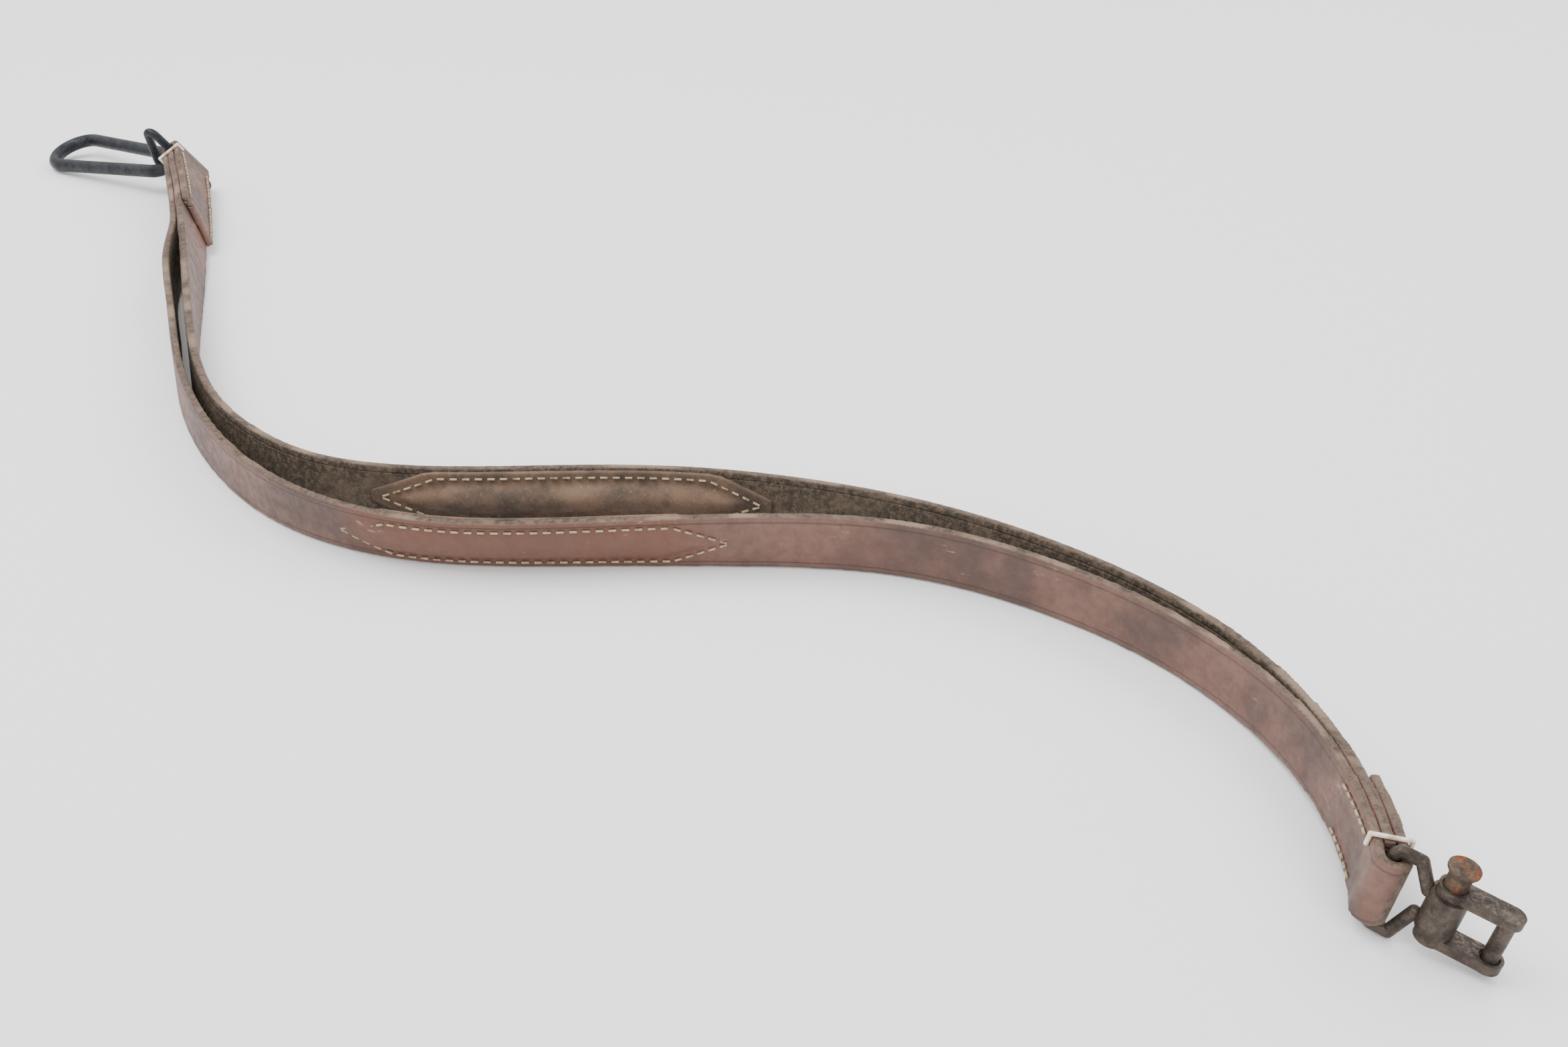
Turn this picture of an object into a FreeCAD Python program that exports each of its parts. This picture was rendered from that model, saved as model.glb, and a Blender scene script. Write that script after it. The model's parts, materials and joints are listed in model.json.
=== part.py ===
"""Doubled, padded leather neck strap with a teardrop link at one end and a latching clevis at the other."""

import FreeCAD, Part
import math
import os

from FreeCAD import Placement, Rotation, Vector

DOC = FreeCAD.newDocument("neck_strap")
OUT = "parts"

# Driving sizes in millimetres (degrees where the name ends in _angle).
SIZES = {
    "shift_x": 35.17,
    "shift_y": -3.03,
    "strap_width": 30.0,
    "front_thick": 4.2,
    "back_thick": 4.8,
    "layer_gap": 0.05,
    "stitched_left": 108.0,
    "stitched_right": 52.0,
    "tail_left_top": 88.0,
    "tail_left_low": 104.0,
    "tail_right": 45.0,
    "ease_length": 12.0,
    "strap_end_gap": 6.5,
    "patch_thick": 2.5,
    "patch_half_length": 97.5,
    "patch_straight": 70.0,
    "patch_half_height": 13.5,
    "patch_tip_half": 3.0,
    "filling_half_length": 84.0,
    "filling_straight": 60.0,
    "filling_half_height": 8.0,
    "filling_tip_half": 1.6,
    "filling_crown": 6.5,
    "front_pad_at": 578.0,
    "back_pad_at": 567.5,
    "stitch_half_length": 92.5,
    "stitch_straight": 66.0,
    "stitch_half_height": 10.5,
    "pad_pitch": 6.0,
    "end_pitch": 4.8,
    "thread_radius": 0.55,
    "thread_length": 3.4,
    "row_height": 11.0,
    "edge_thread_radius": 0.9,
    "edge_thread_drop": 5.0,
    "loop_rod": 5.6,
    "loop_reach": 28.8,
    "loop_half_height": 32.2,
    "loop_corner": 4.0,
    "loop_apex": 6.5,
    "loop_slide": 3.9,
    "loop_swing_angle": 39.0,
    "link_rod": 8.6,
    "link_eye": 16.8,
    "link_ring": 10.6,
    "link_centres": 82.4,
    "link_seat": 25.0,
    "link_rise": 1.0,
    "link_heading_angle": 197.9,
    "link_droop_angle": 6.2,
    "link_roll_angle": 11.9,
    "dee_rod": 5.0,
    "dee_corner": 3.2,
    "dee_half_height": 17.9,
    "dee_shoulder": 9.0,
    "pivot_reach": 22.0,
    "barrel_radius": 7.0,
    "barrel_low": -6.7,
    "barrel_high": 10.6,
    "pin_radius": 4.3,
    "pin_fit": 0.05,
    "head_radius": 5.9,
    "head_low": 20.2,
    "head_high": 23.7,
    "plate_low": -11.3,
    "plate_high": -7.0,
    "plate_left_radius": 5.9,
    "plate_half_width": 4.9,
    "plate_end_radius": 5.2,
    "plate_hole": 3.9,
    "end_reach": 20.4,
    "latch_low": 10.9,
    "latch_high": 14.7,
    "latch_half_width": 4.65,
    "latch_eye_radius": 5.7,
    "latch_eye_hole": 4.6,
    "end_pin_radius": 3.1,
    "end_pin_low": -11.0,
}

# Stations along each strap: x, y, lean in degrees (top towards the right of travel), lift off the floor.
BACK_STATIONS = [
    (-451.0, 42.0, 35.0, 8.8),
    (-383.0, 11.0, 24.0, 5.2),
    (-316.0, -22.0, 13.0, 1.5),
    (-250.0, -56.0, 1.0, 0.1),
    (-182.0, -87.0, -7.0, 0.0),
    (-135.0, -101.0, -10.0, 0.0),
    (-91.0, -103.0, -11.0, 0.0),
    (-49.0, -94.0, -10.5, 0.0),
    (-9.0, -68.0, -10.0, 0.0),
    (35.0, -21.0, -10.0, 0.0),
    (79.0, 27.0, -10.5, 0.0),
    (131.0, 67.0, -13.0, 0.0),
    (188.0, 97.0, -14.0, 0.0),
    (260.0, 117.0, -12.0, 0.0),
    (334.0, 119.5, -6.0, 0.1),
    (404.0, 94.0, -2.0, 3.0),
    (457.9, 46.1, -9.0, 6.2),
]
FRONT_STATIONS = [
    (-321.0, -32.0, 5.0, 0.7),
    (-254.0, -65.0, -1.5, 0.0),
    (-185.0, -95.0, -4.0, 0.0),
    (-113.0, -114.0, 0.0, 0.0),
    (-39.0, -113.5, 7.0, 0.0),
    (29.5, -83.5, 15.5, 0.0),
    (82.0, -31.0, 14.0, 0.0),
    (131.0, 26.0, 6.0, 0.0),
    (185.5, 76.5, 2.0, 0.0),
    (253.3, 105.2, 3.0, 0.0),
    (325.0, 112.8, 2.0, 0.1),
]
CLEVIS_ALONG = Vector(0.952, 0.263, -0.155)
UP = Vector(0, 0, 1)


def cell_table():
    """Writes every driving size, and the strap stations, into one sheet."""
    sheet = DOC.addObject("Spreadsheet::Sheet", "dims")
    for row, (name, value) in enumerate(SIZES.items(), start=1):
        sheet.set(f"A{row}", name)
        sheet.set(f"B{row}", str(value))
        sheet.setAlias(f"B{row}", name)
    for column, stations in (("D", BACK_STATIONS), ("I", FRONT_STATIONS)):
        for row, station in enumerate(stations, start=1):
            for step, value in enumerate(station):
                sheet.set(f"{chr(ord(column) + step)}{row}", str(value))
    DOC.recompute()
    return sheet


SHEET = cell_table()


def size(name):
    """A driving size read back from the sheet."""
    return float(SHEET.get(name))


def read_stations(column, count):
    """The stations of one strap, read back from the sheet and moved to the part's own origin."""
    letters = [chr(ord(column) + step) for step in range(4)]
    rows = [[float(SHEET.get(f"{letter}{row}")) for letter in letters] for row in range(1, count + 1)]
    return [[row[0] + size("shift_x"), row[1] + size("shift_y")] + row[2:] for row in rows]


# ---------------------------------------------------------------- strap paths


class Frame:
    """A cross-section plane: centre, travel direction, thickness direction and across direction."""

    def __init__(self, centre, travel, lean):
        self.centre = centre
        self.travel = Vector(travel.x, travel.y, 0).normalize()
        side = UP.cross(self.travel)
        self.lean = lean
        self.thick = side * math.cos(lean) + UP * math.sin(lean)
        self.across = UP * math.cos(lean) - side * math.sin(lean)

    def at(self, offset, height):
        """A point of this section: offset through the leather, height across the strap."""
        return self.centre + self.thick * offset + self.across * height


def standing_height(lean, thick):
    """Height of a strap's centre when its low corner rests on the floor."""
    return size("strap_width") / 2 * math.cos(lean) + thick / 2 * abs(math.sin(lean))


class StrapPath:
    """A smooth plan line through stations (x, y, lean, lift), with the leather standing on edge."""

    def __init__(self, stations, thick):
        self.thick = thick
        points = [Vector(station[0], station[1], 0) for station in stations]
        steps = [0.0]
        for first, second in zip(points, points[1:]):
            steps.append(steps[-1] + (second - first).Length)
        self.line = Part.BSplineCurve()
        self.line.interpolate(Points=points, Parameters=steps)
        spread = [Vector(station[2], step, station[3]) for station, step in zip(stations, steps)]
        self.stance = Part.BSplineCurve()
        self.stance.interpolate(Points=spread, Parameters=steps)
        self.length = self.line.length()

    def frame(self, distance):
        """The section plane at a distance from the link end."""
        spot = self.line.parameterAtDistance(distance, self.line.FirstParameter)
        spot = min(max(spot, self.line.FirstParameter), self.line.LastParameter)
        stance = self.stance.value(spot)
        lean = math.radians(stance.x)
        centre = self.line.value(spot)
        centre.z = standing_height(lean, self.thick) + max(stance.z, 0.0)
        return Frame(centre, self.line.tangent(spot)[0], lean)


def spaced(start, stop, step):
    """Even distances from start to stop, both included."""
    count = max(1, round((stop - start) / step))
    return [start + (stop - start) * index / count for index in range(count + 1)]


LAYER = size("front_thick") / 2 + size("layer_gap") + size("back_thick") / 2
FOLD_LEFT = size("loop_rod") / 2 + 0.3 + size("front_thick") / 2
FOLD_RIGHT = size("dee_rod") / 2 + 0.3 + size("front_thick") / 2


def layer_offset(from_bar, fold_offset):
    """Distance of the outer layers from the middle one, easing from the fold to the flat stack."""
    part = min(max(from_bar / size("ease_length"), 0.0), 1.0)
    blend = part * part * (3 - 2 * part)
    return fold_offset + (LAYER - fold_offset) * blend


def back_path():
    """The path of the back strap; it also carries the stack at both ends."""
    return StrapPath(read_stations("D", len(BACK_STATIONS)), size("back_thick"))


def beside(frame):
    """A front strap station lying against the back strap."""
    point = frame.at(-LAYER, 0)
    lift = point.z - standing_height(frame.lean, size("front_thick"))
    return [point.x, point.y, math.degrees(frame.lean), lift]


def front_path(back):
    """The path of the front strap: beside the back strap at both ends, on its own between."""
    left = [beside(back.frame(distance)) for distance in (0.0, 25.0, 50.0, 75.0, 98.0, 105.0)]
    right = [beside(back.frame(back.length - distance)) for distance in (75.0, 50.0, 25.0, 0.0)]
    return StrapPath(left + read_stations("I", len(FRONT_STATIONS)) + right, size("front_thick"))


BACK = back_path()
FRONT = front_path(BACK)


# ---------------------------------------------------------------- leather


def rectangle(frame, offset, thick, low, high):
    """A closed rectangular outline in one section plane."""
    corners = [(-thick / 2, low), (thick / 2, low), (thick / 2, high), (-thick / 2, high)]
    points = [frame.at(offset + across, height) for across, height in corners]
    return Part.makePolygon(points + points[:1])


def ribbon(sections, thick, ruled=False):
    """A solid strap through (frame, offset) sections, smooth or ruled between them."""
    half = size("strap_width") / 2
    outlines = [rectangle(frame, offset, thick, -half, half) for frame, offset in sections]
    return Part.makeLoft(outlines, True, ruled)


def fold(frame, offset, turn):
    """The half turn of the front strap around a bar."""
    half = size("strap_width") / 2
    face = Part.Face(rectangle(frame, -offset, size("front_thick"), -half, half))
    return face.revolve(frame.centre, frame.across, turn)


def front_sections():
    """Sections of the long run of the front strap, from fold to fold."""
    sections = []
    for distance in [0, 3, 6, 9, 12, 18] + spaced(26, 98, 12):
        sections.append((BACK.frame(distance), -layer_offset(distance, FOLD_LEFT)))
    for distance in spaced(112, FRONT.length - 68, 14):
        sections.append((FRONT.frame(distance), 0.0))
    for distance in [52, 44, 36, 28, 20, 12, 9, 6, 3, 0]:
        sections.append((BACK.frame(BACK.length - distance), -layer_offset(distance, FOLD_RIGHT)))
    return sections


def left_tail():
    """The tail behind the link end, cut off on a slant."""
    distances = [0, 3, 6, 9, 12, 18] + spaced(26, 110, 12)
    sections = [(BACK.frame(value), layer_offset(value, FOLD_LEFT)) for value in distances]
    tail = ribbon(sections, size("front_thick"))
    half = size("strap_width") / 2
    top = BACK.frame(size("tail_left_top")).at(LAYER, half)
    low = BACK.frame(size("tail_left_low")).at(LAYER, -half)
    frame = BACK.frame(96)
    along = (top - low).normalize()
    outward = frame.thick.cross(along).normalize()
    if outward.dot(frame.travel) < 0:
        outward = outward * -1
    block = Part.makeBox(60, 60, 60, Vector(-30, -30, 0))
    middle = (top + low) * 0.5
    block.Placement = Placement(middle, Rotation(UP, outward))
    return tail.cut(block)


def right_tail():
    """The short tail behind the clevis end, cut off square."""
    distances = [0, 3, 6, 9, 12, 20, 28, 36, size("tail_right")]
    sections = [(BACK.frame(BACK.length - value), layer_offset(value, FOLD_RIGHT)) for value in distances]
    return ribbon(sections, size("front_thick"))


def front_strap_shape():
    """The front strap with both folds and both tails, in one piece."""
    run = ribbon(front_sections(), size("front_thick"))
    left_fold = fold(BACK.frame(0), FOLD_LEFT, -180)
    right_fold = fold(BACK.frame(BACK.length), FOLD_RIGHT, 180)
    return run.multiFuse([left_fold, right_fold, left_tail(), right_tail()])


def back_strap_shape():
    """The back strap, which stops short of both bars."""
    gap = size("strap_end_gap")
    distances = spaced(gap, BACK.length - gap, 6)
    return ribbon([(BACK.frame(value), 0.0) for value in distances], size("back_thick"), True)


def tapered(distance, straight, reach, full, tip):
    """Half height that is constant to `straight`, then narrows evenly to `tip` at `reach`."""
    away = abs(distance)
    if away <= straight:
        return full
    return full + (tip - full) * (away - straight) / (reach - straight)


def crown(distance):
    """Height of the filling's ridge at a distance from the middle of the pad."""
    part = min(abs(distance) / (size("filling_half_length") + 3), 1.0)
    return size("filling_crown") * (1 - part**4)


def filling_half(distance):
    """Half height of the filling at a distance from the middle of the pad."""
    return tapered(
        distance,
        size("filling_straight"),
        size("filling_half_length"),
        size("filling_half_height"),
        size("filling_tip_half"),
    )


def arch(frame, side, base, half, ridge, shoulder, rise, below):
    """Closed outline: flat on the strap, or `below` it, and arched on the other side."""
    parts = (-1.0, -0.72, -0.4, 0.0, 0.4, 0.72, 1.0)
    top = [frame.at(side * (base + rise + ridge * (1 - part * part)), part * half) for part in parts]
    spline = Part.BSplineCurve()
    spline.interpolate(Points=top)
    if not rise:
        low = [frame.at(side * (base - below), part) for part in (half, -half)] if below else []
        points = [top[-1]] + low + [top[0]]
        edges = [Part.makeLine(first, second) for first, second in zip(points, points[1:])]
        return Part.Wire([spline.toShape()] + edges)
    corners = [
        frame.at(side * (base + rise), shoulder),
        frame.at(side * base, shoulder),
        frame.at(side * base, -shoulder),
        frame.at(side * (base + rise), -shoulder),
    ]
    points = [top[-1]] + corners + [top[0]]
    edges = [Part.makeLine(first, second) for first, second in zip(points, points[1:])]
    return Part.Wire([spline.toShape()] + edges)


def pad_solid(path, middle, side, thick, hollow, below=0.0):
    """The filling (hollow) or the full outside form (not hollow) of one pad.

    `below` takes the filling's form past its flat side, for a clean cut.
    """
    base = thick / 2 + size("layer_gap")
    reach = size("filling_half_length") if hollow else size("patch_half_length")
    outlines = []
    for distance in spaced(-reach, reach, 6.5):
        frame = path.frame(middle + distance)
        half = filling_half(min(abs(distance), size("filling_half_length")))
        ridge = crown(distance) if abs(distance) < size("filling_half_length") else 0.02
        shoulder = tapered(
            distance,
            size("patch_straight"),
            size("patch_half_length"),
            size("patch_half_height"),
            size("patch_tip_half"),
        )
        rise = 0.0 if hollow else size("patch_thick")
        least = 0.25 if hollow else 0.03
        outlines.append(arch(frame, side, base, half, max(ridge, least), shoulder, rise, below))
    return Part.makeLoft(outlines, True, True)


# ---------------------------------------------------------------- thread


def thread_bar(start, end, radius):
    """One straight stitch of thread."""
    return Part.makeCylinder(radius, (end - start).Length, start, end - start)


def stitch(path, where, height, offset, slope):
    """A stitch lying on a face: centred at `where`, turned by its slope in the face."""
    half = size("thread_length") / 2
    ends = []
    for sign in (-1, 1):
        frame = path.frame(where + sign * half * math.cos(slope))
        ends.append(frame.at(offset, height + sign * half * math.sin(slope)))
    return thread_bar(ends[0], ends[1], size("thread_radius"))


def pad_outline():
    """Corner points (along, across) of the long six-sided stitch line."""
    reach = size("stitch_half_length")
    straight = size("stitch_straight")
    high = size("stitch_half_height")
    return [(-reach, 0), (-straight, high), (straight, high), (reach, 0), (straight, -high), (-straight, -high)]


def pad_stitching_shape(path, middle, side, thick):
    """The stitch line of one pad, seen on the strap's outside and on the patch."""
    lie = size("thread_radius") + 0.06
    outer = -side * (thick / 2 + lie)
    inner = side * (thick / 2 + size("layer_gap") + size("patch_thick") + lie)
    corners = pad_outline()
    stitches = []
    for first, second in zip(corners, corners[1:] + corners[:1]):
        span = math.hypot(second[0] - first[0], second[1] - first[1])
        slope = math.atan2(second[1] - first[1], second[0] - first[0])
        count = round(span / size("pad_pitch"))
        for index in range(count):
            part = (index + 0.5) / count
            where = middle + first[0] + (second[0] - first[0]) * part
            height = first[1] + (second[1] - first[1]) * part
            for offset in (outer, inner):
                stitches.append(stitch(path, where, height, offset, slope))
    return Part.makeCompound(stitches)


def end_row_shape(start, stop, height):
    """One row of stitches through the three layers, seen on both faces."""
    lie = LAYER + size("front_thick") / 2 + size("thread_radius") + 0.06
    stitches = []
    for where in spaced(start, stop, size("end_pitch")):
        for side in (-1, 1):
            stitches.append(stitch(BACK, where, height, side * lie, 0.0))
    return Part.makeCompound(stitches)


def edge_thread_shape(where, fold_offset, from_bar):
    """A thick thread laid over the top edge of the three layers beside a fold."""
    radius = size("edge_thread_radius")
    frame = BACK.frame(where)
    half = layer_offset(from_bar, fold_offset) + size("front_thick") / 2 + radius + 0.08
    top = size("strap_width") / 2 + radius + 0.08
    low = top - size("edge_thread_drop")
    corners = [frame.at(-half, low), frame.at(-half, top), frame.at(half, top), frame.at(half, low)]
    bars = [thread_bar(first, second, radius) for first, second in zip(corners, corners[1:])]
    balls = [Part.makeSphere(radius, point) for point in corners]
    return bars[0].multiFuse(bars[1:] + balls)


def add_shape(label, shape):
    """Stores a finished leather or thread shape as its own object."""
    item = DOC.addObject("Part::Feature", label)
    item.Label = label
    item.Shape = shape
    item.Placement = Placement()
    return item


# ---------------------------------------------------------------- metal


def primitive(kind, name, bindings, base, direction):
    """A Part primitive with bound sizes, standing at `base` along `direction`."""
    item = DOC.addObject(kind, name)
    for key, text in bindings.items():
        item.setExpression(key, text)
    item.Placement = Placement(Vector(*base), Rotation(UP, Vector(*direction)))
    return item


def rod(name, start, end, radius):
    """A round rod between two points of a local frame."""
    first, second = Vector(*start), Vector(*end)
    bindings = {"Radius": radius, "Height": str((second - first).Length)}
    return primitive("Part::Cylinder", name, bindings, start, tuple(second - first))


def ball(name, centre, radius):
    """A round joint between two rods."""
    return primitive("Part::Sphere", name, {"Radius": radius}, centre, (0, 0, 1))


def disc(name, centre, low, high, radius):
    """A cylinder along the local Z axis between two bound heights."""
    item = primitive("Part::Cylinder", name, {"Radius": radius, "Height": f"({high}) - ({low})"}, centre, (0, 0, 1))
    item.setExpression("Placement.Base.z", low)
    return item


def bend(name, centre, major, minor, start_angle, sweep, upright):
    """Part of a ring of round rod; upright rings stand in the local XZ plane."""
    item = DOC.addObject("Part::Torus", name)
    item.setExpression("Radius1", major)
    item.setExpression("Radius2", minor)
    item.Angle3 = sweep
    turn = Rotation(UP, start_angle)
    if upright:
        turn = Rotation(Vector(1, 0, 0), 90) * turn
    item.Placement = Placement(Vector(*centre), turn)
    return item


def fused(name, pieces, cutters, place):
    """Joins the pieces, takes the cutters away, and puts the result in its place."""
    joined = DOC.addObject("Part::MultiFuse", name if not cutters else name + "_solid")
    joined.Shapes = pieces
    result = joined
    if cutters:
        tool = cutters[0]
        if len(cutters) > 1:
            tool = DOC.addObject("Part::MultiFuse", name + "_holes")
            tool.Shapes = cutters
        result = DOC.addObject("Part::Cut", name)
        result.Base = joined
        result.Tool = tool
    result.Label = name
    result.Placement = place
    return result


def place_from(origin, along, axis):
    """Placement that takes local X to `along` and local Z to `axis`."""
    upright = Vector(axis).normalize()
    ahead = Vector(along)
    ahead = (ahead - upright * ahead.dot(upright)).normalize()
    left = upright.cross(ahead)
    matrix = FreeCAD.Matrix(
        ahead.x, left.x, upright.x, origin.x,
        ahead.y, left.y, upright.y, origin.y,
        ahead.z, left.z, upright.z, origin.z,
        0, 0, 0, 1,
    )
    return Placement(matrix)


def loop_place():
    """Where the strap loop hangs: its bar in the left fold, swung down to the floor."""
    frame = BACK.frame(0)
    swing = math.radians(size("loop_swing_angle"))
    outward = frame.travel * -math.cos(swing) - frame.thick * math.sin(swing)
    return place_from(frame.at(0, size("loop_slide")), outward, frame.across)


def strap_loop():
    """Triangle of wire: its base is the bar in the left fold, its apex carries the link."""
    reach, high, corner, apex = (size("loop_" + name) for name in ("reach", "half_height", "corner", "apex"))
    radius = "dims.loop_rod / 2"
    lean = math.atan2(reach, high)
    end = high - corner / math.tan(lean / 2)
    centre = reach - apex / math.cos(lean)
    turn = math.degrees(lean)
    pieces = [
        rod("loop_bar", (0, 0, -end), (0, 0, end), radius),
        bend("loop_apex", (centre, 0, 0), "dims.loop_apex", radius, -turn, 2 * turn, True),
        bend("loop_top_corner", (corner, 0, end), "dims.loop_corner", radius, turn, 180 - turn, True),
        bend("loop_low_corner", (corner, 0, -end), "dims.loop_corner", radius, 180, 180 - turn, True),
    ]
    for name, sign in (("loop_top_side", 1), ("loop_low_side", -1)):
        start = (corner * (1 + math.cos(lean)), 0, sign * (end + corner * math.sin(lean)))
        stop = (centre + apex * math.cos(lean), 0, sign * apex * math.sin(lean))
        pieces.append(rod(name, start, stop, radius))
    return fused("strap_loop", pieces, [], loop_place())


def link_place():
    """Where the teardrop link lies: ring round the loop's apex, eye down on the floor."""
    ring = loop_place().multVec(Vector(size("link_seat"), 0, size("link_rise")))
    heading, droop, roll = (math.radians(size(f"link_{name}_angle")) for name in ("heading", "droop", "roll"))
    along = Vector(math.cos(heading) * math.cos(droop), math.sin(heading) * math.cos(droop), -math.sin(droop))
    side = UP.cross(along).normalize()
    upright = along.cross(side)
    axis = upright * math.cos(roll) + side * math.sin(roll)
    return place_from(ring, along, axis)


def teardrop_link():
    """Round eye and small closed ring of one rod, joined by two straight legs."""
    eye, ring, centres = size("link_eye"), size("link_ring"), size("link_centres")
    radius = "dims.link_rod / 2"
    lean = math.acos((eye - ring) / centres)
    turn = math.degrees(lean)
    pieces = [
        bend("link_eye", (centres, 0, 0), "dims.link_eye", radius, turn - 180, 360 - 2 * turn, False),
        bend("link_ring", (0, 0, 0), "dims.link_ring", radius, 0, 360, False),
    ]
    for side in (-1, 1):
        start = (-ring * math.cos(lean), side * ring * math.sin(lean), 0)
        end = (centres - eye * math.cos(lean), side * eye * math.sin(lean), 0)
        pieces.append(rod(f"link_leg_{'low' if side < 0 else 'high'}", start, end, radius))
    return fused("teardrop_link", pieces, [], link_place())


def clevis_place():
    """Where the clevis hangs: its bar in the right fold, swung to the far side."""
    frame = BACK.frame(BACK.length)
    return place_from(frame.centre, CLEVIS_ALONG, frame.across)


def dee_side(name, sign, end):
    """One side of the dee: a corner, a short shoulder and an arm down to the barrel."""
    corner, high, shoulder = size("dee_corner"), size("dee_half_height"), size("dee_shoulder")
    radius = "dims.dee_rod / 2"
    angle = 90 if sign > 0 else 180
    knee = (shoulder, 0, sign * high)
    return [
        bend(name + "_corner", (corner, 0, sign * (high - corner)), "dims.dee_corner", radius, angle, 90, True),
        rod(name + "_shoulder", (corner, 0, sign * high), knee, radius),
        ball(name + "_knee", knee, radius),
        rod(name + "_arm", knee, end, radius),
        ball(name + "_root", end, radius),
    ]


def clevis_body():
    """The dee that holds the right fold, in one piece with the barrel."""
    corner, high = size("dee_corner"), size("dee_half_height")
    pivot = (size("pivot_reach"), 0, 0)
    pieces = [rod("dee_bar", (0, 0, corner - high), (0, 0, high - corner), "dims.dee_rod / 2")]
    pieces += dee_side("dee_top", 1, (14.8, 0, 7.5))
    pieces += dee_side("dee_low", -1, (13.9, 0, -4.0))
    pieces.append(disc("barrel", pivot, "dims.barrel_low", "dims.barrel_high", "dims.barrel_radius"))
    bore = disc("barrel_bore", pivot, "dims.barrel_low - 5", "dims.barrel_high + 5", "dims.pin_radius + dims.pin_fit")
    return fused("clevis_body", pieces, [bore], clevis_place())


def bar_with_ends(name, low, high, half_width, left_radius, end_radius):
    """A flat bar from the pivot to the end pin with round ends, as bound pieces."""
    pivot, reach = size("pivot_reach"), size("end_reach")
    block = DOC.addObject("Part::Box", name + "_middle")
    block.setExpression("Length", "dims.end_reach")
    block.setExpression("Width", f"2 * {half_width}")
    block.setExpression("Height", f"{high} - {low}")
    block.setExpression("Placement.Base.x", "dims.pivot_reach")
    block.setExpression("Placement.Base.y", f"-{half_width}")
    block.setExpression("Placement.Base.z", low)
    left = disc(name + "_left", (pivot, 0, 0), low, high, left_radius)
    right = disc(name + "_right", (pivot + reach, 0, 0), low, high, end_radius)
    return [block, left, right]


def lower_plate():
    """The plate under the barrel: pivot hole at one end, wide hole for the end pin at the other."""
    low, high = "dims.plate_low", "dims.plate_high"
    pivot, reach = size("pivot_reach"), size("end_reach")
    pieces = bar_with_ends(
        "plate", low, high, "dims.plate_half_width", "dims.plate_left_radius", "dims.plate_end_radius"
    )
    holes = [
        disc("plate_pivot_hole", (pivot, 0, 0), low + " - 5", high + " + 5", "dims.pin_radius + dims.pin_fit"),
        disc("plate_end_hole", (pivot + reach, 0, 0), low + " - 5", high + " + 5", "dims.plate_hole"),
    ]
    return fused("lower_link_plate", pieces, holes, clevis_place())


def pivot_pin():
    """Shaft through plate, barrel and latch eye, with a flared head."""
    pivot = (size("pivot_reach"), 0, 0)
    shaft = disc("pin_shaft", pivot, "dims.plate_low", "dims.head_low", "dims.pin_radius")
    flare = primitive(
        "Part::Cone",
        "pin_flare",
        {
            "Radius1": "dims.pin_radius",
            "Radius2": "dims.head_radius",
            "Height": "dims.head_high - dims.head_low - 1",
        },
        pivot,
        (0, 0, 1),
    )
    flare.setExpression("Placement.Base.z", "dims.head_low")
    rim = disc("pin_rim", pivot, "dims.head_high - 1", "dims.head_high", "dims.head_radius")
    return fused("pivot_pin", [shaft, flare, rim], [], clevis_place())


def latch_bar():
    """The upper bar with its eye round the pivot and its end pin, forged in one piece."""
    low, high = "dims.latch_low", "dims.latch_high"
    pivot, reach = size("pivot_reach"), size("end_reach")
    pieces = bar_with_ends(
        "latch", low, high, "dims.latch_half_width", "dims.latch_eye_radius", "dims.latch_half_width"
    )
    pieces.append(disc("end_pin", (pivot + reach, 0, 0), "dims.end_pin_low", high, "dims.end_pin_radius"))
    hole = disc("latch_eye_hole", (pivot, 0, 0), low + " - 5", high + " + 5", "dims.latch_eye_hole")
    return fused("latch_bar", pieces, [hole], clevis_place())


# ---------------------------------------------------------------- assembly


def leather_nodes():
    """Both straps, both patches and both fillings."""
    front_thick, back_thick = size("front_thick"), size("back_thick")
    front_at, back_at = size("front_pad_at"), size("back_pad_at")
    front_filling = pad_solid(FRONT, front_at, 1, front_thick, True)
    back_filling = pad_solid(BACK, back_at, -1, back_thick, True)
    front_patch = pad_solid(FRONT, front_at, 1, front_thick, False)
    back_patch = pad_solid(BACK, back_at, -1, back_thick, False)
    front_hollow = pad_solid(FRONT, front_at, 1, front_thick, True, 1.0)
    back_hollow = pad_solid(BACK, back_at, -1, back_thick, True, 1.0)
    return [
        add_shape("front_strap", front_strap_shape()),
        add_shape("back_strap", back_strap_shape()),
        add_shape("front_pad_patch", front_patch.cut(front_hollow)),
        add_shape("back_pad_patch", back_patch.cut(back_hollow)),
        add_shape("front_pad_filling", front_filling),
        add_shape("back_pad_filling", back_filling),
    ]


def thread_nodes():
    """All stitching and the two edge threads."""
    front_thick, back_thick = size("front_thick"), size("back_thick")
    row = size("row_height")
    length = BACK.length
    return [
        add_shape("front_pad_stitching", pad_stitching_shape(FRONT, size("front_pad_at"), 1, front_thick)),
        add_shape("back_pad_stitching", pad_stitching_shape(BACK, size("back_pad_at"), -1, back_thick)),
        add_shape("link_end_upper_stitching", end_row_shape(16, size("tail_left_top") - 4, row)),
        add_shape("link_end_lower_stitching", end_row_shape(16, size("tail_left_low") - 6, -row)),
        add_shape("clevis_end_upper_stitching", end_row_shape(length - 41, length - 15, row)),
        add_shape("clevis_end_lower_stitching", end_row_shape(length - 41, length - 15, -row)),
        add_shape("link_end_edge_thread", edge_thread_shape(9.5, FOLD_LEFT, 9.5)),
        add_shape("clevis_end_edge_thread", edge_thread_shape(length - 8.0, FOLD_RIGHT, 8.0)),
    ]


def metal_nodes():
    """Loop, link and the pieces of the latching clevis."""
    return [strap_loop(), teardrop_link(), clevis_body(), lower_plate(), pivot_pin(), latch_bar()]


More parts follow.
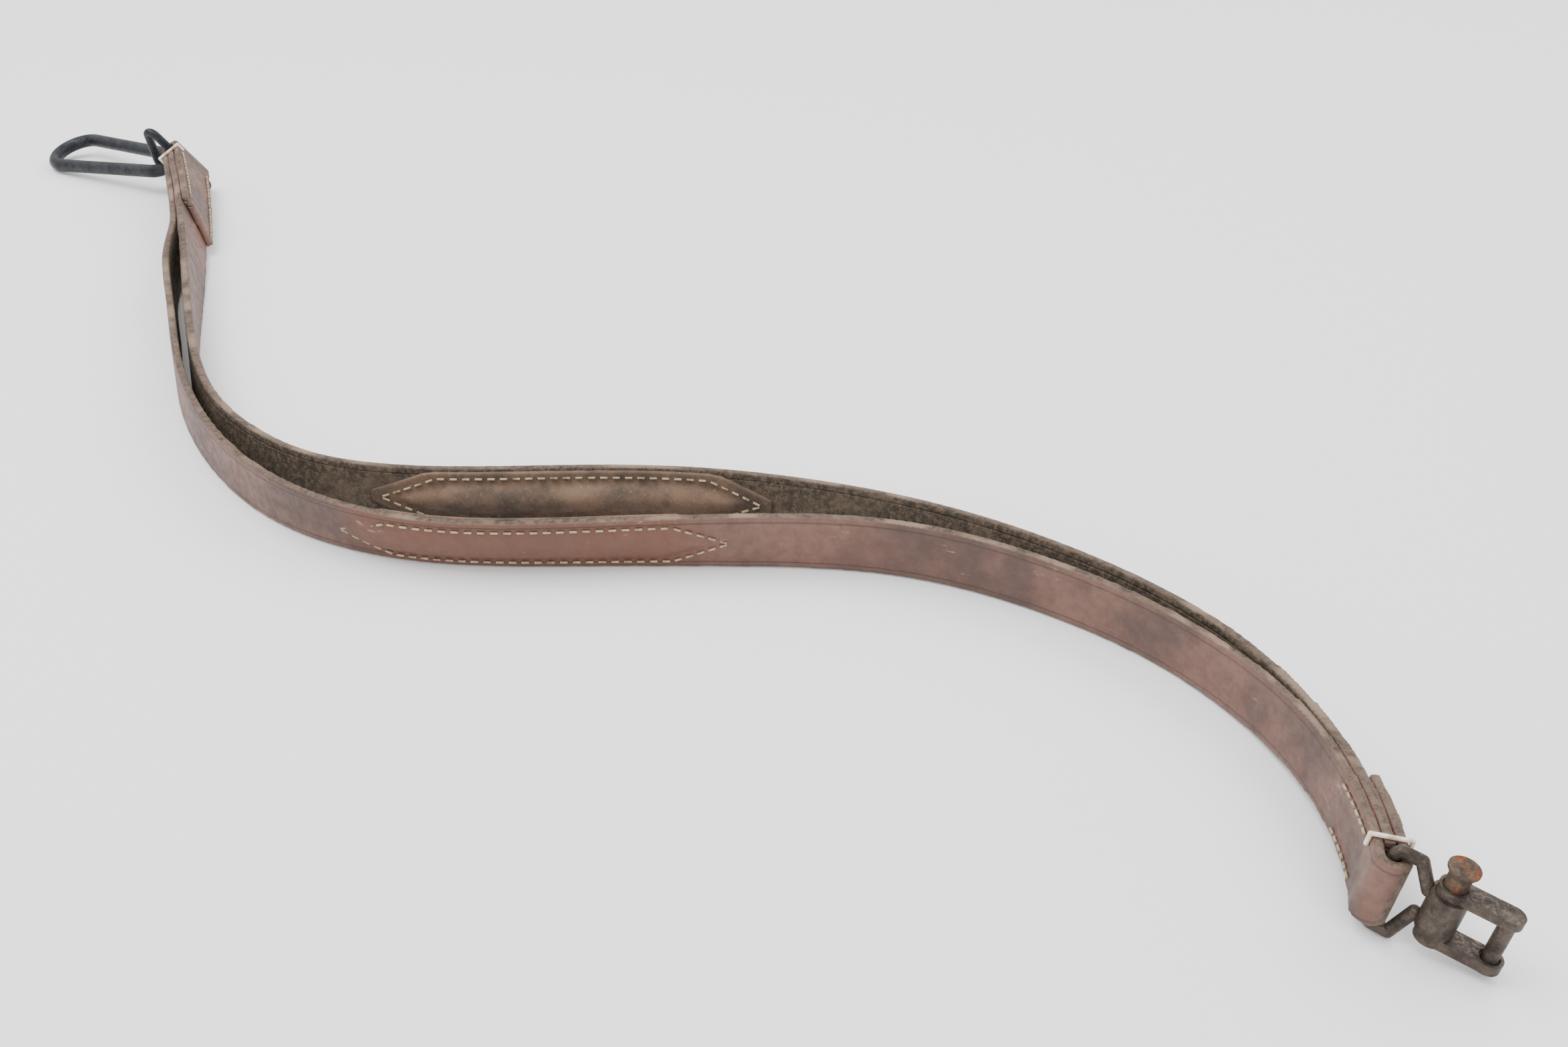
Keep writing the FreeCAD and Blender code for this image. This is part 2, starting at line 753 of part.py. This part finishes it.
def export(nodes):
    """Checks every object and writes one STEP file for each node."""
    DOC.recompute()
    for item in DOC.Objects:
        state = [word for word in item.State if word in ("Invalid", "Error")]
        if state:
            raise RuntimeError(f"{item.Name}: {state}")
    os.makedirs(OUT, exist_ok=True)
    for node in nodes:
        shape = node.Shape
        if shape.isNull() or not shape.isValid():
            raise RuntimeError(f"{node.Label}: bad shape")
        shape.exportStep(f"{OUT}/{node.Label}.step")


NODES = leather_nodes() + thread_nodes() + metal_nodes()
export(NODES)
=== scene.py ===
"""Looks of a doubled, padded leather neck strap with a loop, a link and a latching clevis."""

import json
import logging
import math
from dataclasses import dataclass, field
from enum import Enum

import bpy
import bmesh
import numpy as np
from mathutils import Euler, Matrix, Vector

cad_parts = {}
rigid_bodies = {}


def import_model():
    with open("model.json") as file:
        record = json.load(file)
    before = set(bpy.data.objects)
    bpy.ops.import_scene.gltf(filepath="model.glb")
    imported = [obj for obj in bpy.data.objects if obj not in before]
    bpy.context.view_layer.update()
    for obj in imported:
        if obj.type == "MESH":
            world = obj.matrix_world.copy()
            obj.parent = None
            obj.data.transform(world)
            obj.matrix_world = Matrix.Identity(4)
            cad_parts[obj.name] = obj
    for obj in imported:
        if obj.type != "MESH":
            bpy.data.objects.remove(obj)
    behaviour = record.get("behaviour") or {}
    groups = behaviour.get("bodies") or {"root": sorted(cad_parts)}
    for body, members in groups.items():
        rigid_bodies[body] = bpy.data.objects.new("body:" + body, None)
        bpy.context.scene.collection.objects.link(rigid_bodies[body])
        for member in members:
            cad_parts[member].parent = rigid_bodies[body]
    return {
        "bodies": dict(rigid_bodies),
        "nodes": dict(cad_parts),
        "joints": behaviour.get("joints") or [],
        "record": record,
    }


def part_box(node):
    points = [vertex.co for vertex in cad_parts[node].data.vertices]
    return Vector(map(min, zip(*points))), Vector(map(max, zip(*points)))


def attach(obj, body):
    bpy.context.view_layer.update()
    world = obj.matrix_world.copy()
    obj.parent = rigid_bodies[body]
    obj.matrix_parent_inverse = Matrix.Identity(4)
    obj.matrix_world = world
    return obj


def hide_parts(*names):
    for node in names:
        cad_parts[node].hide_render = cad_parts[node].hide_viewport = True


LOG = logging.getLogger("neck_strap")

Colour = tuple[float, float, float]


def shade(red: int, green: int, blue: int) -> Colour:
    """Turns a colour picked on a screen into linear light.

    Args:
        red: Red from 0 to 255.
        green: Green from 0 to 255.
        blue: Blue from 0 to 255.

    Returns:
        The colour as three linear values.
    """
    return tuple(((part / 255 + 0.055) / 1.055) ** 2.4 if part > 10 else part / 3295 for part in (red, green, blue))


class Side(Enum):
    """The side of a strap that shows the hair, or grain, side of the hide."""

    TOWARDS_FRONT = -1
    TOWARDS_BACK = 1


class NodeGraph:
    """A small helper that adds and joins shader nodes."""

    def __init__(self, name: str) -> None:
        """Starts a material with one Principled shader.

        Args:
            name: The material's name.
        """
        self.material = bpy.data.materials.new(name)
        self.material.use_nodes = True
        self.tree = self.material.node_tree
        self.tree.nodes.clear()
        self.output = self.tree.nodes.new("ShaderNodeOutputMaterial")
        self.shader = self.tree.nodes.new("ShaderNodeBsdfPrincipled")
        self.tree.links.new(self.shader.outputs[0], self.output.inputs[0])
        self.place = self.tree.nodes.new("ShaderNodeTexCoord").outputs["Object"]

    def join(self, source: object, target: object) -> None:
        """Links one socket to another."""
        self.tree.links.new(source, target)

    def mapped(self, scale: tuple[float, float, float], turn: float = 0.0) -> object:
        """Object coordinates, scaled and turned about the upright axis."""
        node = self.tree.nodes.new("ShaderNodeMapping")
        node.inputs["Scale"].default_value = scale
        node.inputs["Rotation"].default_value = (0.0, 0.0, turn)
        self.join(self.place, node.inputs["Vector"])
        return node.outputs[0]

    def noise(self, scale: float, detail: float = 4.0, rough: float = 0.55, vector: object = None) -> object:
        """A noise pattern from 0 to 1."""
        node = self.tree.nodes.new("ShaderNodeTexNoise")
        node.inputs["Scale"].default_value = scale
        node.inputs["Detail"].default_value = detail
        node.inputs["Roughness"].default_value = rough
        self.join(self.place if vector is None else vector, node.inputs["Vector"])
        return node.outputs["Fac"]

    def cells(self, scale: float, vector: object = None) -> object:
        """The distance to the nearest cell edge, as in hide grain."""
        node = self.tree.nodes.new("ShaderNodeTexVoronoi")
        node.feature = "DISTANCE_TO_EDGE"
        node.inputs["Scale"].default_value = scale
        self.join(self.place if vector is None else vector, node.inputs["Vector"])
        return node.outputs["Distance"]

    def ramp(self, value: object, low: float, high: float, first: float = 0.0, last: float = 1.0) -> object:
        """A value, spread smoothly between two limits."""
        node = self.tree.nodes.new("ShaderNodeMapRange")
        node.interpolation_type = "SMOOTHSTEP"
        for slot, number in enumerate((low, high, first, last), start=1):
            node.inputs[slot].default_value = number
        self.join(value, node.inputs[0])
        return node.outputs[0]

    def sums(self, kind: str, first: object, second: object) -> object:
        """One step of arithmetic on two values, each a socket or a number."""
        node = self.tree.nodes.new("ShaderNodeMath")
        node.operation = kind
        for slot, value in enumerate((first, second)):
            if isinstance(value, (int, float)):
                node.inputs[slot].default_value = value
            else:
                self.join(value, node.inputs[slot])
        return node.outputs[0]

    def blend(self, share: object, first: object, second: object) -> object:
        """A mix of two colours, each a socket or a plain colour."""
        node = self.tree.nodes.new("ShaderNodeMix")
        node.data_type = "RGBA"
        self.join(share, node.inputs[0])
        for slot, value in ((6, first), (7, second)):
            if isinstance(value, tuple):
                node.inputs[slot].default_value = (*value, 1.0)
            else:
                self.join(value, node.inputs[slot])
        return node.outputs[2]

    def attribute(self, name: str) -> object:
        """A value that the mesh itself carries."""
        node = self.tree.nodes.new("ShaderNodeAttribute")
        node.attribute_name = name
        return node.outputs["Fac"]

    def bump(self, height: object, depth: float, strength: float = 1.0, under: object = None) -> object:
        """A bump from a height, on top of another bump."""
        node = self.tree.nodes.new("ShaderNodeBump")
        node.inputs["Strength"].default_value = strength
        node.inputs["Distance"].default_value = depth
        self.join(height, node.inputs["Height"])
        if under is not None:
            self.join(under, node.inputs["Normal"])
        return node.outputs[0]

    def finish(self, colour: object, rough: object, normal: object, metal: float = 0.0) -> bpy.types.Material:
        """Joins the last sockets to the shader.

        Args:
            colour: The base colour's socket.
            rough: The roughness socket.
            normal: The bump's socket.
            metal: How metallic the surface is.

        Returns:
            The finished material.
        """
        self.join(colour, self.shader.inputs["Base Color"])
        self.join(rough, self.shader.inputs["Roughness"])
        self.join(normal, self.shader.inputs["Normal"])
        self.shader.inputs["Metallic"].default_value = metal
        return self.material


@dataclass(frozen=True)
class StrapLeather:
    """Old strap leather: worn grain side, dark flesh side and fuzzy cut edges."""

    name: str = "strap_leather"
    grain: Colour = shade(112, 80, 68)
    dark_grain: Colour = shade(78, 57, 50)
    warm_grain: Colour = shade(98, 62, 46)
    flesh: Colour = shade(100, 84, 68)
    dark_flesh: Colour = shade(52, 44, 35)
    edge: Colour = shade(102, 85, 72)
    rim: Colour = shade(138, 117, 100)
    scuff: Colour = shade(154, 128, 114)

    def material(self) -> bpy.types.Material:
        """Builds the leather from grain cells, wrinkles, scuffs and edge fuzz."""
        graph = NodeGraph(self.name)
        grain_share, edge_share = graph.attribute("grain"), graph.attribute("edge")
        warm_share, across = graph.attribute("warm"), graph.attribute("across")
        blotch = graph.ramp(graph.noise(26, 5, 0.6), 0.36, 0.66)
        small = graph.ramp(graph.noise(190, 6, 0.7), 0.35, 0.68)
        grain = graph.blend(blotch, self.grain, self.dark_grain)
        grain = graph.blend(graph.sums("MULTIPLY", small, 0.35), grain, self.dark_grain)
        grain = graph.blend(graph.sums("MULTIPLY", warm_share, 0.75), grain, self.warm_grain)
        wear = graph.noise(70, 8, 0.72, graph.mapped((0.55, 1.0, 2.4), 0.2))
        grain = graph.blend(graph.ramp(wear, 0.62, 0.70, 0.0, 0.7), grain, self.scuff)
        crease = graph.sums("ABSOLUTE", graph.sums("SUBTRACT", graph.sums("ABSOLUTE", graph.sums(
            "SUBTRACT", across, 0.5), 0.0), 0.39), 0.0)
        line = graph.ramp(crease, 0.0, 0.022, 1.0, 0.0)
        grain = graph.blend(graph.sums("MULTIPLY", line, 0.55), grain, shade(62, 50, 46))
        flesh = graph.blend(graph.ramp(graph.noise(420, 5, 0.8), 0.42, 0.62), self.dark_flesh, self.flesh)
        flesh = graph.blend(graph.ramp(graph.noise(38, 4, 0.6), 0.5, 0.72, 0.0, 0.5), flesh, shade(110, 94, 76))
        edge = graph.blend(graph.ramp(graph.noise(300, 6, 0.75), 0.38, 0.66), self.edge, shade(62, 50, 42))
        edge = graph.blend(graph.ramp(graph.noise(45, 3, 0.5), 0.48, 0.66, 0.0, 0.75), edge, self.rim)
        colour = graph.blend(grain_share, flesh, grain)
        colour = graph.blend(edge_share, colour, edge)
        cells = graph.ramp(graph.cells(900), 0.0, 0.22)
        fibres = graph.noise(900, 8, 0.8)
        wrinkles = graph.noise(130, 6, 0.65, graph.mapped((2.4, 1.0, 0.7), 0.1))
        normal = graph.bump(wrinkles, 0.0009, 0.6)
        normal = graph.bump(cells, 0.00012, 0.5, normal)
        normal = graph.bump(line, -0.0006, 0.8, normal)
        normal = graph.bump(graph.sums("MULTIPLY", fibres, graph.sums("SUBTRACT", 1.15, grain_share)), 0.0007, 0.8, normal)
        rough = graph.sums("SUBTRACT", graph.ramp(small, 0.0, 1.0, 0.62, 0.78), graph.sums(
            "MULTIPLY", grain_share, 0.14))
        rough = graph.sums("MAXIMUM", rough, graph.sums("MULTIPLY", edge_share, 0.85))
        graph.shader.inputs["Specular IOR Level"].default_value = 0.42
        return graph.finish(colour, rough, normal)


@dataclass(frozen=True)
class PlainLeather:
    """Dark rough leather or felt without a separate flesh side."""

    name: str
    light: Colour
    dark: Colour
    speck: Colour
    fibre: float = 500.0
    rough: float = 0.8

    def material(self) -> bpy.types.Material:
        """Builds the surface from blotches, specks and fibres."""
        graph = NodeGraph(self.name)
        colour = graph.blend(graph.ramp(graph.noise(40, 5, 0.65), 0.36, 0.66), self.light, self.dark)
        colour = graph.blend(graph.ramp(graph.noise(self.fibre, 6, 0.8), 0.56, 0.7, 0.0, 0.6), colour, self.speck)
        fibres = graph.noise(self.fibre * 1.7, 8, 0.8)
        normal = graph.bump(graph.noise(120, 5, 0.6), 0.0012, 0.6)
        normal = graph.bump(fibres, 0.0006, 0.8, normal)
        rough = graph.ramp(fibres, 0.3, 0.7, self.rough - 0.08, self.rough + 0.1)
        return graph.finish(colour, rough, normal)


@dataclass(frozen=True)
class Thread:
    """Waxed sewing thread with a twist and some dirt."""

    name: str
    light: Colour
    dirt: Colour

    def material(self) -> bpy.types.Material:
        """Builds the thread from fine twist lines and dirt."""
        graph = NodeGraph(self.name)
        colour = graph.blend(graph.ramp(graph.noise(260, 5, 0.7), 0.42, 0.7), self.light, self.dirt)
        twist = graph.noise(1500, 3, 0.6, graph.mapped((1.0, 1.0, 0.35), 0.6))
        return graph.finish(colour, graph.ramp(twist, 0.0, 1.0, 0.55, 0.75), graph.bump(twist, 0.0004, 0.8))


@dataclass(frozen=True)
class OldMetal:
    """Painted or browned metal with bare wear, pits and rust."""

    name: str
    base: Colour
    shadow: Colour
    worn: Colour
    rust: Colour
    rust_share: float
    metal: float
    rough: float

    def material(self) -> bpy.types.Material:
        """Builds the metal from patina blotches, worn spots, rust and pits."""
        graph = NodeGraph(self.name)
        colour = graph.blend(graph.ramp(graph.noise(140, 6, 0.65), 0.38, 0.64), self.base, self.shadow)
        worn = graph.ramp(graph.noise(330, 8, 0.75), 0.63, 0.72, 0.0, 0.75)
        colour = graph.blend(worn, colour, self.worn)
        edge = 0.72 - 0.34 * self.rust_share
        rust = graph.ramp(graph.noise(115, 8, 0.75), edge, edge + 0.1)
        grit = graph.ramp(graph.noise(1300, 4, 0.8), 0.4, 0.65)
        colour = graph.blend(rust, colour, graph.blend(grit, self.rust, shade(104, 56, 30)))
        pits = graph.ramp(graph.noise(620, 7, 0.75), 0.3, 0.55)
        normal = graph.bump(graph.noise(95, 3, 0.5), 0.0012, 0.35)
        normal = graph.bump(pits, 0.0003, 0.6, normal)
        normal = graph.bump(graph.sums("MULTIPLY", rust, grit), 0.0004, 0.7, normal)
        rough = graph.sums("ADD", graph.ramp(pits, 0.0, 1.0, self.rough + 0.15, self.rough), graph.sums(
            "MULTIPLY", rust, 0.3))
        return graph.finish(colour, rough, normal, self.metal)


def dress(thing: bpy.types.Object, material: bpy.types.Material) -> None:
    """Gives one finish to every slot of a piece."""
    if not thing.material_slots:
        thing.data.materials.append(material)
    for place in thing.material_slots:
        place.material = material


def soft_copy(node: bpy.types.Object, name: str, cell: float, rounds: int) -> bpy.types.Object:
    """A copy of a CAD solid as one even, soft-edged skin.

    Args:
        node: The CAD node to copy.
        name: The new piece's name.
        cell: Size of the skin's facets, in metres.
        rounds: How often the skin is smoothed.

    Returns:
        The new piece, at the origin.
    """
    mesh = node.data.copy()
    piece = bpy.data.objects.new(name, mesh)
    bpy.context.scene.collection.objects.link(piece)
    skin = bmesh.new()
    skin.from_mesh(mesh)
    bmesh.ops.remove_doubles(skin, verts=skin.verts, dist=1e-6)
    skin.to_mesh(mesh)
    skin.free()
    remesh = piece.modifiers.new("even_skin", "REMESH")
    remesh.mode, remesh.voxel_size = "VOXEL", cell
    remesh.use_smooth_shade = True
    soften = piece.modifiers.new("soft_edges", "SMOOTH")
    soften.factor, soften.iterations = 0.5, rounds
    reached = piece.evaluated_get(bpy.context.evaluated_depsgraph_get())
    piece.data = bpy.data.meshes.new_from_object(reached)
    piece.modifiers.clear()
    piece.data.name = name
    for face in piece.data.polygons:
        face.use_smooth = True
    return piece


def eased(value: np.ndarray, low: float, high: float) -> np.ndarray:
    """A smooth step from 0 at low to 1 at high."""
    share = np.clip((value - low) / (high - low), 0.0, 1.0)
    return share * share * (3 - 2 * share)


def carry(mesh: bpy.types.Mesh, name: str, values: np.ndarray) -> None:
    """Writes one value for each corner point of a mesh."""
    layer = mesh.attributes.new(name, "FLOAT", "POINT")
    layer.data.foreach_set("value", values.astype(np.float32))


@dataclass
class Strap:
    """One of the two long straps."""

    node: str
    name: str
    outer: Side
    pad: str
    cell: float = 0.00115
    bulge: float = 0.0026
    hidden_from: float = -0.31
    hidden_to: float = 0.45
    replaced: bool = True

    def build(self, frame: dict) -> bpy.types.Object:
        """Makes the strap's skin and swells it where the pad sits.

        Args:
            frame: The loaded frame.

        Returns:
            The strap.
        """
        piece = soft_copy(frame["nodes"][self.node], self.name, self.cell, 3)
        mesh = piece.data
        count = len(mesh.vertices)
        place, lean = np.empty(count * 3), np.empty(count * 3)
        mesh.vertices.foreach_get("co", place)
        mesh.vertices.foreach_get("normal", lean)
        place, lean = place.reshape(-1, 3), lean.reshape(-1, 3)
        across = self.across(place)
        low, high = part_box(self.pad)
        middle, reach = (low[0] + high[0]) / 2, (high[0] - low[0]) / 2
        along = np.clip(np.abs(place[:, 0] - middle) / reach, 0.0, 1.0)
        sign = self.outer.value
        outside = eased(sign * lean[:, 1], -0.15, 0.25)
        edge = eased(np.maximum(np.abs(lean[:, 2]), np.abs(lean[:, 0]) - 0.05), 0.72, 0.86)
        half = np.maximum(0.30 * np.clip((0.92 - along) / 0.24, 0.0, 1.0), 1e-3)
        swell = (1 - along**4) * np.clip(1 - ((across - 0.5) / half) ** 2, 0.0, 1.0) ** 0.7
        push = self.bulge * swell * eased(sign * lean[:, 1], 0.3, 0.6)
        place = place + lean * push[:, None]
        mesh.vertices.foreach_set("co", place.ravel())
        inner = (place[:, 0] > self.hidden_from) & (place[:, 0] < self.hidden_to)
        grain = np.where(inner, outside, 1.0)
        carry(mesh, "grain", grain)
        carry(mesh, "edge", edge)
        carry(mesh, "across", across)
        carry(mesh, "warm", (1 - eased(along, 0.7, 1.0)) * outside)
        mesh.update()
        return piece

    @staticmethod
    def across(place: np.ndarray) -> np.ndarray:
        """Where each point lies between the strap's lower and upper edge, from 0 to 1."""
        bins = ((place[:, 0] - place[:, 0].min()) / 0.004).astype(int)
        floor, top = np.full(bins.max() + 1, 9.0), np.full(bins.max() + 1, -9.0)
        np.minimum.at(floor, bins, place[:, 2])
        np.maximum.at(top, bins, place[:, 2])
        return (place[:, 2] - floor[bins]) / np.maximum(top[bins] - floor[bins], 1e-6)


@dataclass
class StrapPair:
    """Both straps, sewn together at their ends."""

    leather: StrapLeather = field(default_factory=StrapLeather)
    straps: tuple[Strap, ...] = (
        Strap("front_strap", "front_strap_leather", Side.TOWARDS_FRONT, "front_pad_patch"),
        Strap("back_strap", "back_strap_leather", Side.TOWARDS_BACK, "back_pad_patch"),
    )

    def build(self, frame: dict) -> None:
        """Builds and dresses both straps."""
        finish = self.leather.material()
        for strap in self.straps:
            piece = strap.build(frame)
            dress(piece, finish)
            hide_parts(strap.node)
            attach(piece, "strap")
            LOG.info("strap %s: %d points", piece.name, len(piece.data.vertices))


@dataclass
class Pads:
    """The leather patches over a felt filling, between the straps."""

    cell: float = 0.0008
    patch: PlainLeather = PlainLeather(
        "patch_leather", shade(112, 88, 70), shade(66, 54, 44), shade(150, 126, 104)
    )
    felt: PlainLeather = PlainLeather(
        "felt_filling", shade(150, 140, 124), shade(110, 100, 88), shade(190, 180, 160), 800.0, 0.9
    )

    def build(self, frame: dict) -> None:
        """Builds both patches as soft skins and dresses the fillings."""
        leather, felt = self.patch.material(), self.felt.material()
        for end in ("front", "back"):
            piece = soft_copy(frame["nodes"][f"{end}_pad_patch"], f"{end}_pad_patch_leather", self.cell, 4)
            dress(piece, leather)
            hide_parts(f"{end}_pad_patch")
            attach(piece, "strap")
            dress(frame["nodes"][f"{end}_pad_filling"], felt)
            LOG.info("pad %s: %d points", end, len(piece.data.vertices))


@dataclass
class Sewing:
    """All stitching and the two heavier edge threads."""

    waxed: Thread = Thread("waxed_thread", shade(168, 152, 122), shade(100, 84, 66))
    cream: Thread = Thread("cream_thread", shade(236, 222, 202), shade(176, 156, 132))

    def build(self, frame: dict) -> None:
        """Dresses each row of thread."""
        waxed, cream = self.waxed.material(), self.cream.material()
        for name, node in frame["nodes"].items():
            if name.endswith("stitching"):
                dress(node, waxed)
                LOG.info("sewing %s", name)
            elif name.endswith("edge_thread"):
                dress(node, cream)
                LOG.info("edge thread %s", name)


@dataclass
class LinkFitting:
    """The wire loop and the teardrop link at the left end."""

    steel: OldMetal = OldMetal(
        "black_steel", shade(52, 54, 58), shade(34, 35, 38), shade(118, 116, 114), shade(120, 78, 52), 0.12, 0.75, 0.36
    )

    def build(self, frame: dict) -> None:
        """Dresses the loop and the link."""
        steel = self.steel.material()
        for name in ("strap_loop", "teardrop_link"):
            dress(frame["nodes"][name], steel)
            LOG.info("metal %s", name)


@dataclass
class ClevisFitting:
    """The latching clevis at the right end."""

    iron: OldMetal = OldMetal(
        "browned_iron", shade(84, 74, 66), shade(54, 46, 41), shade(140, 128, 116), shade(140, 84, 52), 0.3, 0.7, 0.45
    )
    rusty: OldMetal = OldMetal(
        "rusty_iron", shade(92, 76, 62), shade(58, 46, 38), shade(146, 130, 114), shade(150, 90, 54), 0.62, 0.6, 0.5
    )

    def build(self, frame: dict) -> None:
        """Dresses the body and bars, with more rust about the pin."""
        iron, rusty = self.iron.material(), self.rusty.material()
        for name in ("clevis_body", "lower_link_plate", "latch_bar"):
            dress(frame["nodes"][name], iron)
        dress(frame["nodes"]["pivot_pin"], rusty)
        LOG.info("metal clevis")


@dataclass
class Studio:
    """A pale floor, soft lights and the camera."""

    floor_size: float = 9.0
    lens: float = 40.6
    spot: tuple[float, float, float] = (0.68617, -0.42003, 0.4764)
    pitch: float = 56.5
    heading: float = 47.7

    def build(self) -> None:
        """Lays the floor, hangs the lights and sets the camera."""
        mesh = bpy.data.meshes.new("floor")
        plane = bmesh.new()
        bmesh.ops.create_grid(plane, x_segments=1, y_segments=1, size=self.floor_size / 2)
        bmesh.ops.translate(plane, verts=plane.verts, vec=(0.0, 0.0, -0.0004))
        plane.to_mesh(mesh)
        plane.free()
        floor = bpy.data.objects.new("floor", mesh)
        bpy.context.scene.collection.objects.link(floor)
        graph = NodeGraph("pale_floor")
        graph.shader.inputs["Base Color"].default_value = (0.86, 0.86, 0.86, 1.0)
        graph.shader.inputs["Roughness"].default_value = 0.85
        dress(floor, graph.material)
        self.light("key", (-0.7, -0.5, 1.9), 1.6, 52.0)
        self.light("fill", (1.5, -0.6, 1.3), 1.4, 20.0)
        self.light("back", (0.2, 1.6, 1.6), 1.4, 26.0)
        world = bpy.data.worlds.new("studio")
        bpy.context.scene.world = world
        world.use_nodes = True
        world.node_tree.nodes["Background"].inputs[0].default_value = (1.0, 1.0, 1.0, 1.0)
        world.node_tree.nodes["Background"].inputs[1].default_value = 1.15
        camera = bpy.data.objects.new("camera", bpy.data.cameras.new("camera"))
        bpy.context.scene.collection.objects.link(camera)
        camera.data.lens, camera.data.sensor_width = self.lens, 36.0
        camera.data.clip_start = 0.01
        camera.location = self.spot
        camera.rotation_euler = Euler((math.radians(self.pitch), 0.0, math.radians(self.heading)))
        bpy.context.scene.camera = camera
        LOG.info("studio")

    @staticmethod
    def light(name: str, spot: tuple[float, float, float], side: float, power: float) -> None:
        """Hangs one soft square light that faces the object.

        Args:
            name: The light's name.
            spot: Where it hangs, in metres.
            side: The length of its side, in metres.
            power: Its power, in watts.
        """
        data = bpy.data.lights.new(name, "AREA")
        data.size, data.energy = side, power
        lamp = bpy.data.objects.new(name, data)
        bpy.context.scene.collection.objects.link(lamp)
        lamp.location = spot
        lamp.rotation_euler = (-Vector(spot)).to_track_quat("-Z", "Y").to_euler()


def main(frame: dict) -> None:
    """Builds each sub-assembly in order.

    Args:
        frame: The loaded frame.
    """
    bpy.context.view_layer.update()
    for assembly in (StrapPair(), Pads(), Sewing(), LinkFitting(), ClevisFitting()):
        assembly.build(frame)
        LOG.info("built %s", type(assembly).__name__)
    Studio().build()


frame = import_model()

if __name__ == "__main__":
    logging.basicConfig(level=logging.INFO)
    main(frame)
